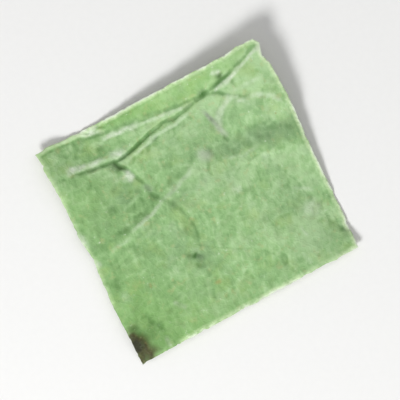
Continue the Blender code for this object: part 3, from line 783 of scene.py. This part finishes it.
def blade_heights(x, y):
    """Heights of both faces at each place, and what the finish needs to know there."""
    torn, _ = torn_outline()
    knots, pairs = net_of(torn)
    ground = ground_under(knots, pairs)
    stray_x, stray_y = [STRAY * field(x, y, STRAY_SIZE, STRAY_SIZE, depth) for depth in (21.5, 33.5)]
    near_x, near_y = x + stray_x, y + stray_y
    relief, rib, dark, clear = vein_relief(near_x, near_y)
    to_net = net_distance(knots, pairs, near_x, near_y)
    net = hump(to_net, NET_HALF)
    fine = wrinkles(x, y) + creases(near_x, near_y)
    level = ground[0] + ground[1] * x + ground[2] * y
    form = blade_form(x, y) - level
    upper = form - (SOLID_BLADE - BLADE) + relief + NET_UPPER * net + fine
    under = np.maximum(form - SOLID_BLADE - np.maximum(rib, NET_UNDER * net) + fine, 0)
    upper = np.maximum(upper, under + THINNEST * BLADE)

    def marks(table):
        return strokes(x + 2 * stray_x, y + 2 * stray_y, table)

    # painted light on the strip beyond the upper veins, which slopes up towards the lamp
    strip = np.clip((y - crest_of(x)) / STRIP_START, 0, 1)
    broken = uneven(x, y, (1.5, 1.5), 50.5, middle=0.7, swing=1.2, least=0.1, most=1)
    patchy = uneven(x, y, (0.8, 0.8), 60.5, middle=0.9, swing=0.6, least=0.5, most=1.1)
    masks = {
        # the leaf's own tone, with painted light and shade from the stretches and painted light on the strip
        "tone_and_painted_light": STRETCH_TONE * (marks(PALE_AND_LIT_STRETCHES) - marks(DARK_AND_SHADED_STRETCHES)) + STRIP_PAINTED_LIGHT * strip,
        "dull": marks(DULL_STRETCHES) - np.maximum(strip, strokes(x, y, FRESH_STRETCHES)),
        # the furrows' darker tissue and painted shade, with the dark marks and the painted shade of that
        # table
        "furrow": np.maximum(dark * broken, patchy * marks(DARK_MARKS_AND_SHADE)),
        "scuff_and_highlight": patchy * marks(PALE_MARKS_AND_HIGHLIGHTS),
        "vein": clear,
        "net": hump(to_net, FINE_NET * NET_HALF),
        "browning": np.clip(marks(BROWNED) + BROWN_SWING * field(x, y, 0.9, 0.9, 70.5), 0, 1),
        "burn_and_shade": marks(BURNS_AND_SHADE),
        "grey": strokes(near_x, near_y, GREY_MARKS),
        "speck": marks(SPECKS),
    }
    return upper, under, masks


def edge_loop():
    """Indices of the grid's outer points, anticlockwise from its first."""
    wide = ACROSS + 1
    lower = list(range(ACROSS))
    right = [row * wide + ACROSS for row in range(ALONG)]
    upper = [ALONG * wide + column for column in range(ACROSS, 0, -1)]
    left = [row * wide for row in range(ALONG, 0, -1)]
    return lower + right + upper + left


def loop_noise(count, step, *pattern):
    """Smooth noise from point to point of the loop."""
    return np.array([noise.noise((step * k, *pattern)) for k in range(count)])


def rim_places(x, y, upper, under):
    """The torn edge's rough middle line, from the loop's places and the heights of both faces there."""
    out_x = np.roll(y, -1) - np.roll(y, 1)
    out_y = np.roll(x, 1) - np.roll(x, -1)
    size = np.hypot(out_x, out_y)
    rough = CUT_ROUGHNESS * (loop_noise(len(x), 0.9, 0.5, 4.5) - 0.6)
    share = 0.5 + 0.3 * loop_noise(len(x), 0.4, 3.5, 1.5)
    low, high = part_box(NODE)
    rim_x = np.clip(x + rough * out_x / size, low.x, high.x)
    rim_y = np.clip(y + rough * out_y / size, low.y, high.y)
    return rim_x, rim_y, under + share * (upper - under)


def blade_faces(loop):
    """The faces of the upper side, of the underside and of the torn edge, which has two rows of them."""
    wide = ACROSS + 1
    count = wide * (ALONG + 1)
    first = (np.arange(ALONG)[:, None] * wide + np.arange(ACROSS)[None]).ravel()
    top = np.stack([first, first + 1, first + wide + 1, first + wide], axis=1)
    here, there = np.array(loop), np.roll(loop, -1)
    rim_here = 2 * count + np.arange(len(loop))
    rim_there = np.roll(rim_here, -1)
    edge_low = np.stack([here + count, there + count, rim_there, rim_here], axis=1)
    edge_high = np.stack([rim_here, rim_there, there, here], axis=1)
    return top, top[:, ::-1] + count, np.concatenate([edge_low, edge_high])


def blade_mesh():
    """The fine blade: its upper side, its underside and the torn edge between them."""
    grid, middle = grid_in_plan()
    x, y = grid[..., 0].ravel(), grid[..., 1].ravel()
    upper, under, masks = blade_heights(x, y)
    low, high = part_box(NODE)
    x = np.clip(x - middle[0], low.x, high.x)
    y = np.clip(y - middle[1], low.y, high.y)
    loop = edge_loop()
    upper[loop] -= EDGE_ROUND
    under[loop] += EDGE_ROUND
    upper = np.minimum(upper, high.z)
    rim = rim_places(x[loop], y[loop], upper[loop], under[loop])
    rows = ((x, y, upper), (x, y, under), rim)
    places = np.concatenate([np.stack(row, axis=1) for row in rows])
    faces = blade_faces(loop)
    mesh = bpy.data.meshes.new("leaf_square")
    mesh.from_pydata(places.tolist(), [], np.concatenate(faces).tolist())
    slots = np.repeat([0, 1, 2], [len(part) for part in faces])
    mesh.polygons.foreach_set("material_index", slots.astype(np.int32))
    # how far each place stands above or below its blurred neighbourhood, which paints light on crests and
    # shade in hollows
    even = blurred(upper.reshape(grid.shape[:2]), RIDGE_ROUNDS).ravel()
    masks["ridge"] = np.clip((upper - even) / RIDGE_RISE, -1, 1)
    # the pale rim along the torn edge, partly the pale torn tissue and partly a painted highlight
    to_edge = nearest(np.stack([x, y], axis=1)[loop + loop[:1]][::4], x, y)[0]
    pale_share = np.interp(x, *LEFT_RIM) * (1 - strokes(x, y, DULL_RIMS))
    masks["edge"] = pale_share * np.clip(RIM_START - to_edge / RIM_WIDTH, 0, 1)
    for name, values in masks.items():
        layer = mesh.attributes.new(name, "FLOAT", "POINT")
        layer.data.foreach_set("value", np.concatenate([values, values, values[loop]]).astype(np.float32))
    mesh.shade_smooth()
    mesh.set_sharp_from_angle(angle=math.radians(SHARP_ANGLE))
    return mesh


def srgb(red, green, blue):
    """A linear colour from its everyday values from 0 to 255."""
    parts = [value / 255 for value in (red, green, blue)]
    return (*[part / 12.92 if part < 0.04045 else ((part + 0.055) / 1.055) ** 2.4 for part in parts], 1.0)


# Colours of the dried leaf
DEEP = srgb(114, 154, 96)
MIDDLE = srgb(138, 178, 118)
PALE = srgb(166, 200, 146)
YELLOWISH = srgb(152, 182, 108)
FRESH = srgb(128, 174, 90)
GREYISH = srgb(142, 168, 132)
DARK_GREEN = srgb(62, 106, 44)
# worn pale, which also paints highlights on lit flanks and along the edges
WORN_AND_HIGHLIGHT = srgb(212, 224, 202)
# pale of the torn rim, with a painted highlight along it
PALE_RIM_AND_HIGHLIGHT = srgb(208, 230, 182)
CUT = srgb(205, 216, 168)
DARK_CUT = srgb(168, 184, 128)
# the browns of the lower left corner, darker than the stain alone to paint the shade of the bent corner
OLIVE_BROWN = srgb(76, 82, 36)
UMBER = srgb(60, 60, 24)
DRY_TAN = srgb(106, 104, 60)
BURNT_AND_SHADED = srgb(32, 34, 6)
SPECK = srgb(140, 116, 62)
RUST = srgb(158, 138, 80)
GREY = srgb(166, 184, 154)
SHADED_GREY = srgb(112, 126, 104)
WARM = srgb(170, 176, 122)
UNDER_PALE = srgb(176, 196, 148)
UNDER_DEEP = srgb(146, 172, 120)
RIB = srgb(190, 186, 140)
RIB_BROWN = srgb(150, 132, 84)

SHINE = 0.35
BUMP = 0.6
CELL_STRAY = 0.7  # how far the cells' edges stray, as a share of their size


class Finish:
    """A material whose nodes are laid by short calls."""

    def __init__(self, name):
        self.material = bpy.data.materials.new(name)
        self.material.use_nodes = True
        self.tree = self.material.node_tree
        self.shader = self.tree.nodes["Principled BSDF"]
        self.place = self.node("ShaderNodeTexCoord", {})["Object"]

    def feed(self, sockets, values):
        for name, value in values.items():
            if isinstance(value, bpy.types.NodeSocket):
                self.tree.links.new(value, sockets[name])
            else:
                sockets[name].default_value = value

    def node(self, kind, values, **settings):
        """The outputs of a new node, whose inputs get the given values or sockets."""
        made = self.tree.nodes.new(kind)
        for name, value in settings.items():
            setattr(made, name, value)
        self.feed(made.inputs, values)
        return made.outputs

    def mask(self, name):
        return self.node("ShaderNodeAttribute", {}, attribute_name=name)["Fac"]

    def noise_at(self, place, scale, pattern, detail=2.0):
        """The outputs of a noise. Each pattern number gives another noise."""
        values = {"Vector": place, "W": pattern, "Scale": scale, "Detail": detail}
        return self.node("ShaderNodeTexNoise", values, noise_dimensions="4D")

    def noise(self, size, detail, pattern):
        """Noise from 0 to 1 with patches of that size."""
        return self.noise_at(self.place, 1 / size, pattern, detail)["Fac"]

    def streaks(self, along, across, detail, pattern):
        """Noise from 0 to 1 that is drawn out along the grain."""
        turn = (0, 0, math.radians(GRAIN_TURN))
        values = {"Vector": self.place, "Rotation": turn, "Scale": (along, across, across)}
        turned = self.node("ShaderNodeMapping", values, vector_type="TEXTURE")["Vector"]
        return self.noise_at(turned, 1.0, pattern, detail)["Fac"]

    def cells(self, size, pattern):
        """Distance from the edges of cells of that size, from 0 on an edge."""
        stray = self.noise_at(self.place, CELL_STRAY / size, pattern)["Color"]
        values = {0: stray, 1: (CELL_STRAY * size,) * 3, 2: self.place}
        moved = self.node("ShaderNodeVectorMath", values, operation="MULTIPLY_ADD")["Vector"]
        values = {"Vector": moved, "Scale": 1 / size}
        return self.node("ShaderNodeTexVoronoi", values, feature="DISTANCE_TO_EDGE")["Distance"]

    def sum_of(self, *terms):
        """Each term is a socket and its weight."""
        total = 0.0
        for socket, weight in terms:
            values = {0: socket, 1: weight, 2: total}
            total = self.node("ShaderNodeMath", values, operation="MULTIPLY_ADD")["Value"]
        return total

    def times(self, first, second):
        values = {0: first, 1: second}
        return self.node("ShaderNodeMath", values, operation="MULTIPLY", use_clamp=True)["Value"]

    def span(self, value, low, high, least=0.0, most=1.0):
        """The value's place between low and high, as a number from least to most."""
        values = {"Value": value, "From Min": low, "From Max": high, "To Min": least, "To Max": most}
        return self.node("ShaderNodeMapRange", values, clamp=True)["Result"]

    def mix(self, share, first, second):
        return self.node("ShaderNodeMix", {"Factor": share, 6: first, 7: second}, data_type="RGBA")[2]

    def coated(self, colour, *coats):
        """The colour under some coats. Each coat is its share at each place and its colour."""
        for share, coat in coats:
            colour = self.mix(share, colour, coat)
        return colour

    def surface(self, colour, roughness, height, depth):
        bump = self.node("ShaderNodeBump", {"Strength": BUMP, "Distance": depth, "Height": height})
        looks = {"Base Color": colour, "Roughness": roughness, "Specular IOR Level": SHINE}
        self.feed(self.shader.inputs, {**looks, "Normal": bump["Normal"]})
        return self.material


def upper_finish():
    """Matte green, blotched and finely mottled, dark in the furrows, partly their own darker tissue and
    partly painted shade, with painted light on crests and painted shade in hollows, worn pale on ridges, and
    pale at the edges with a painted highlight along them.
    """
    leaf = Finish("leaf_upper_side")
    blotch, mottle = leaf.noise(5.5 * MM, 3, 1.0), leaf.noise(1.7 * MM, 4, 2.0)
    grain, dust = leaf.noise(0.30 * MM, 2, 3.0), leaf.noise(0.42 * MM, 4, 4.0)
    fibres = leaf.streaks(2.6 * MM, 0.55 * MM, 3, 8.0)
    cells, spots = leaf.cells(0.85 * MM, 5.0), leaf.noise(0.75 * MM, 2, 14.0)
    ridge, furrow, rim, dull = [leaf.mask(name) for name in ("ridge", "furrow", "edge", "dull")]
    noises = ((blotch, 1.3), (mottle, 2.7), (spots, 1.6), (grain, 0.4), (dust, 0.6), (fibres, 1.6))
    # the leaf's own tone and random mottling, with painted light and shade from the stretches and painted
    # light on crests and painted shade in hollows
    shade = leaf.sum_of((leaf.mask("tone_and_painted_light"), 1.0), *noises, (ridge, 0.55))
    middle = 0.5 * sum(weight for _, weight in noises)
    fleck = leaf.times(leaf.span(dust, 0.64, 0.72), leaf.span(ridge, 0.0, 0.8, 0.1, 0.8))
    rare = leaf.times(leaf.span(mottle, 0.60, 0.68), leaf.span(leaf.noise(0.8 * MM, 1, 7.0), 0.66, 0.70))
    colour = leaf.coated(
        DEEP,
        (leaf.span(shade, middle - 1, middle), MIDDLE),
        (leaf.span(shade, middle, middle + 1), PALE),
        (leaf.span(leaf.noise(2.2 * MM, 3, 6.0), 0.52, 0.72, 0, 0.5), YELLOWISH),
        (leaf.span(leaf.noise(2.6 * MM, 3, 9.0), 0.52, 0.72, 0, 0.35), GREYISH),
        (leaf.span(leaf.noise(1.0 * MM, 2, 10.0), 0.58, 0.72, 0, 0.45), WARM),
        (leaf.span(dull, 0.0, 1.0, 0, 0.4), GREYISH),
        (leaf.span(dull, 0.0, -1.0, 0, 0.4), FRESH),
        (leaf.span(cells, 0.0, 0.10, 0.12, 0), PALE),
        (leaf.times(leaf.mask("net"), 0.03), PALE),
        (leaf.times(leaf.mask("vein"), 0.10), PALE),
        # painted shade in the hollows
        (leaf.span(ridge, -0.25, -1.0, 0, 0.3), DARK_GREEN),
        # darker tissue and painted shade in the furrows, with the dark marks
        (leaf.times(furrow, 0.75), DARK_GREEN),
        (fleck, WORN_AND_HIGHLIGHT),
        (leaf.times(rare, 0.4), SPECK),
    )
    # pale rim along the edges, partly torn tissue and partly a painted highlight, and a whitish painted
    # highlight line at the very edge
    rim_pale_and_highlight = leaf.times(leaf.span(rim, 0.1, 0.75), leaf.span(dust, 0.35, 0.6, 0.45, 1.0))
    outermost = leaf.times(leaf.span(rim, 0.65, 0.95), leaf.span(mottle, 0.42, 0.56))
    grey = leaf.mix(furrow, GREY, SHADED_GREY)
    brown = leaf.mix(leaf.span(fibres, 0.35, 0.65), UMBER, OLIVE_BROWN)
    brown = leaf.mix(leaf.span(dust, 0.52, 0.70, 0, 0.6), brown, DRY_TAN)
    colour = leaf.coated(
        colour,
        (leaf.times(rim_pale_and_highlight, leaf.span(mottle, 0.35, 0.6, 0.5, 1.0)), PALE_RIM_AND_HIGHLIGHT),
        (outermost, WORN_AND_HIGHLIGHT),
        # pale scuffs and veins, with painted highlights on the lit flanks of furrows and ridges
        (leaf.times(leaf.mask("scuff_and_highlight"), leaf.span(dust, 0.3, 0.65, 0.45, 0.9)), WORN_AND_HIGHLIGHT),
        (leaf.times(leaf.mask("grey"), leaf.span(dust, 0.3, 0.6, 0.7, 0.95)), grey),
        (leaf.times(leaf.mask("speck"), 0.8), RUST),
        # the corner's brown and darkest places: stain with painted shade
        (leaf.times(leaf.mask("browning"), leaf.span(mottle, 0.3, 0.5, 0.7, 1.0)), brown),
        (leaf.times(leaf.mask("burn_and_shade"), leaf.span(dust, 0.3, 0.5, 0.6, 1.0)), BURNT_AND_SHADED),
    )
    height = leaf.sum_of((grain, 0.5), (dust, 0.5), (fibres, 0.5), (leaf.span(cells, 0.0, 0.12), -0.3))
    return leaf.surface(colour, leaf.span(grain, 0.3, 0.7, 0.62, 0.82), height, 0.08 * MM)


def under_finish():
    """Paler and duller, with straw-coloured ribs and net."""
    leaf = Finish("leaf_underside")
    blotch, mottle = leaf.noise(4.0 * MM, 3, 11.0), leaf.noise(0.9 * MM, 3, 12.0)
    grain, cells = leaf.noise(0.22 * MM, 2, 13.0), leaf.cells(0.7 * MM, 15.0)
    shade = leaf.sum_of((blotch, 1.0), (mottle, 0.8), (grain, 0.4))
    rib = leaf.mix(leaf.span(leaf.noise(1.6 * MM, 3, 16.0), 0.4, 0.65), RIB, RIB_BROWN)
    colour = leaf.coated(
        UNDER_DEEP,
        (leaf.span(shade, 0.7, 1.5), UNDER_PALE),
        (leaf.span(cells, 0.0, 0.10, 0.35, 0), RIB),
        (leaf.times(leaf.mask("net"), 0.65), RIB),
        (leaf.span(leaf.mask("vein"), 0.05, 0.45), rib),
        (leaf.span(mottle, 0.66, 0.74, 0, 0.5), SPECK),
        (leaf.times(leaf.mask("edge"), 0.6), CUT),
        (leaf.times(leaf.mask("browning"), 0.7), OLIVE_BROWN),
    )
    height = leaf.sum_of((grain, 0.7), (mottle, 0.4), (leaf.span(cells, 0.0, 0.12), -0.5))
    return leaf.surface(colour, leaf.span(grain, 0.3, 0.7, 0.7, 0.9), height, 0.06 * MM)


def cut_finish():
    """The torn edge: pale, with the leaf's layers as faint stripes."""
    edge = Finish("leaf_cut_edge")
    fibres, mottle = edge.noise(0.16 * MM, 3, 21.0), edge.noise(1.2 * MM, 2, 22.0)
    colour = edge.coated(
        DARK_CUT,
        (edge.span(fibres, 0.35, 0.65), CUT),
        (edge.span(mottle, 0.52, 0.72, 0, 0.7), MIDDLE),
        (edge.times(edge.mask("browning"), 0.8), OLIVE_BROWN),
    )
    return edge.surface(colour, edge.span(fibres, 0.3, 0.7, 0.75, 0.95), fibres, 0.05 * MM)


def floor_finish():
    """A plain pale sheet of board."""
    board = Finish("pale_board")
    fine = board.noise(0.8 * MM, 2, 31.0)
    colour = board.mix(fine, (0.80, 0.80, 0.79, 1.0), (0.83, 0.83, 0.82, 1.0))
    return board.surface(colour, board.span(fine, 0.3, 0.7, 0.8, 0.9), fine, 0.01 * MM)


# The picture: its upward direction, and a camera that looks almost straight down
PICTURE_UP = Vector((0.463, 0.889, 0.0)).normalized()
PICTURE_RIGHT = Vector((PICTURE_UP.y, -PICTURE_UP.x, 0.0))
CAMERA_LEAN = 5.0  # degrees from straight down, towards the picture's lower edge
CAMERA_DISTANCE = 0.45
PICTURE_WIDTH = 52 * MM  # of the view at the leaf
NEAREST_SEEN = 0.01

# Soft square lamps: direction in the picture to the right and up, height in degrees, distance, size, power
LAMPS = {
    "key": ((-0.4, -0.9), 38, 0.50, 0.14, 2.4),
    "fill": ((0.9, 0.3), 45, 0.60, 0.40, 0.4),
    "top": ((0.1, 0.3), 80, 0.60, 0.35, 0.55),
}
ROOM_LIGHT = 0.32
FLOOR_HALF = 0.6


def placed(name, data):
    """A new object in the scene."""
    made = bpy.data.objects.new(name, data)
    bpy.context.scene.collection.objects.link(made)
    return made


def make_camera():
    data = bpy.data.cameras.new("camera")
    data.lens = data.sensor_width * CAMERA_DISTANCE / PICTURE_WIDTH
    data.clip_start = NEAREST_SEEN
    camera = placed("camera", data)
    lean = math.radians(CAMERA_LEAN)
    back = Vector((0, 0, 1)) * math.cos(lean) - PICTURE_UP * math.sin(lean)
    up = back.cross(PICTURE_RIGHT)
    target = 0.5 * (cad_bounds[0] + cad_bounds[1])
    camera.matrix_world = Matrix.LocRotScale(
        target + CAMERA_DISTANCE * back, Matrix((PICTURE_RIGHT, up, back)).transposed(), None
    )
    bpy.context.scene.camera = camera


def make_lamp(name, towards, height, distance, size, power):
    data = bpy.data.lights.new(name, "AREA")
    data.shape = "SQUARE"
    data.size = size
    data.energy = power
    lamp = placed(name, data)
    flat = (PICTURE_RIGHT * towards[0] + PICTURE_UP * towards[1]).normalized()
    rise = math.radians(height)
    place = distance * (flat * math.cos(rise) + Vector((0, 0, 1)) * math.sin(rise))
    lamp.location = place
    lamp.rotation_euler = place.to_track_quat("Z", "Y").to_euler()


def make_stage():
    corners = [(FLOOR_HALF * x, FLOOR_HALF * y, 0) for x, y in ((-1, -1), (1, -1), (1, 1), (-1, 1))]
    mesh = bpy.data.meshes.new("floor")
    mesh.from_pydata(corners, [], [(0, 1, 2, 3)])
    mesh.materials.append(floor_finish())
    floor = placed("floor", mesh)
    for name, settings in LAMPS.items():
        make_lamp(name, *settings)
    world = bpy.data.worlds.new("studio")
    world.use_nodes = True
    room = world.node_tree.nodes["Background"].inputs
    room["Color"].default_value = (1.0, 1.0, 1.0, 1.0)
    room["Strength"].default_value = ROOM_LIGHT
    bpy.context.scene.world = world
    bpy.context.scene.view_settings.view_transform = "Standard"


def make_leaf():
    mesh = blade_mesh()
    for finish in (upper_finish(), under_finish(), cut_finish()):
        mesh.materials.append(finish)
    leaf = placed("dried_leaf_square", mesh)
    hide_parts(NODE)
    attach(leaf, "root")


make_camera()
make_stage()
make_leaf()
